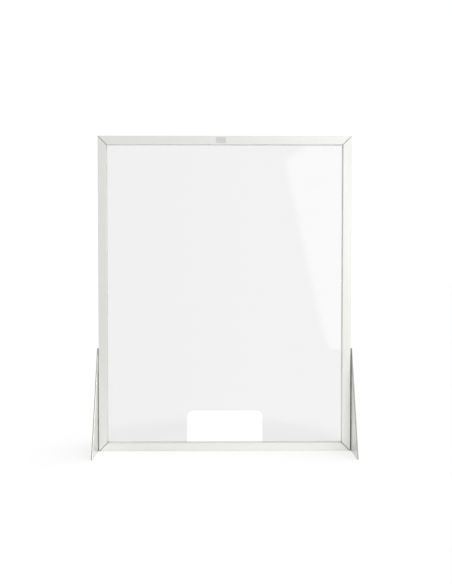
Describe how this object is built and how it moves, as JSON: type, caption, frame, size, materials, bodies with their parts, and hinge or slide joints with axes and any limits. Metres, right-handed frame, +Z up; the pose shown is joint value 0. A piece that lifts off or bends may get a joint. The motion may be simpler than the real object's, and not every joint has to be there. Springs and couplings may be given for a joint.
{
  "type": "sneeze guard",
  "caption": "Free-standing counter screen: a clear upright sheet with a serving opening, held in a mitred aluminium frame on triangular side feet.",
  "frame": {"origin": "centre of the frame's underside on the counter, midway between the two feet and midway through the frame's depth", "axes": "+Z up, +X to the right seen from the front, -Y towards the guest in front of the guard"},
  "size_m": [0.6244, 0.1982, 0.762],
  "materials": {
    "frame_aluminium": "satin",
    "foot_aluminium": "satin",
    "clear_acrylic": "polished",
    "grey_seal": "matte",
    "zinc_plated_steel": "satin",
    "stainless_steel": "satin",
    "nylon": "matte",
    "label_film": "matte"
  },
  "bodies": {
    "frame": {"top_rail": "frame_aluminium", "bottom_rail": "frame_aluminium", "left_post": "frame_aluminium", "right_post": "frame_aluminium", "clear_sheet": "clear_acrylic", "top_seal": "grey_seal", "bottom_seal": "grey_seal", "left_seal": "grey_seal", "right_seal": "grey_seal", "corner_key_top_left": "zinc_plated_steel", "corner_key_top_right": "zinc_plated_steel", "corner_key_bottom_left": "zinc_plated_steel", "corner_key_bottom_right": "zinc_plated_steel", "corner_grub_screws": "stainless_steel", "blank_label": "label_film"},
    "left_foot_set": {"left_foot": "foot_aluminium", "left_foot_washers": "nylon", "left_foot_screws": "stainless_steel", "left_slot_nuts": "zinc_plated_steel"},
    "right_foot_set": {"right_foot": "foot_aluminium", "right_foot_washers": "nylon", "right_foot_screws": "stainless_steel", "right_slot_nuts": "zinc_plated_steel"}
  },
  "joints": [
    {"name": "left_foot_slide", "type": "slide", "parent": "frame", "child": "left_foot_set", "axis": [0, 0, -1], "range_m": [0, 0.05]},
    {"name": "right_foot_slide", "type": "slide", "parent": "frame", "child": "right_foot_set", "axis": [0, 0, -1], "range_m": [0, 0.05]}
  ]
}
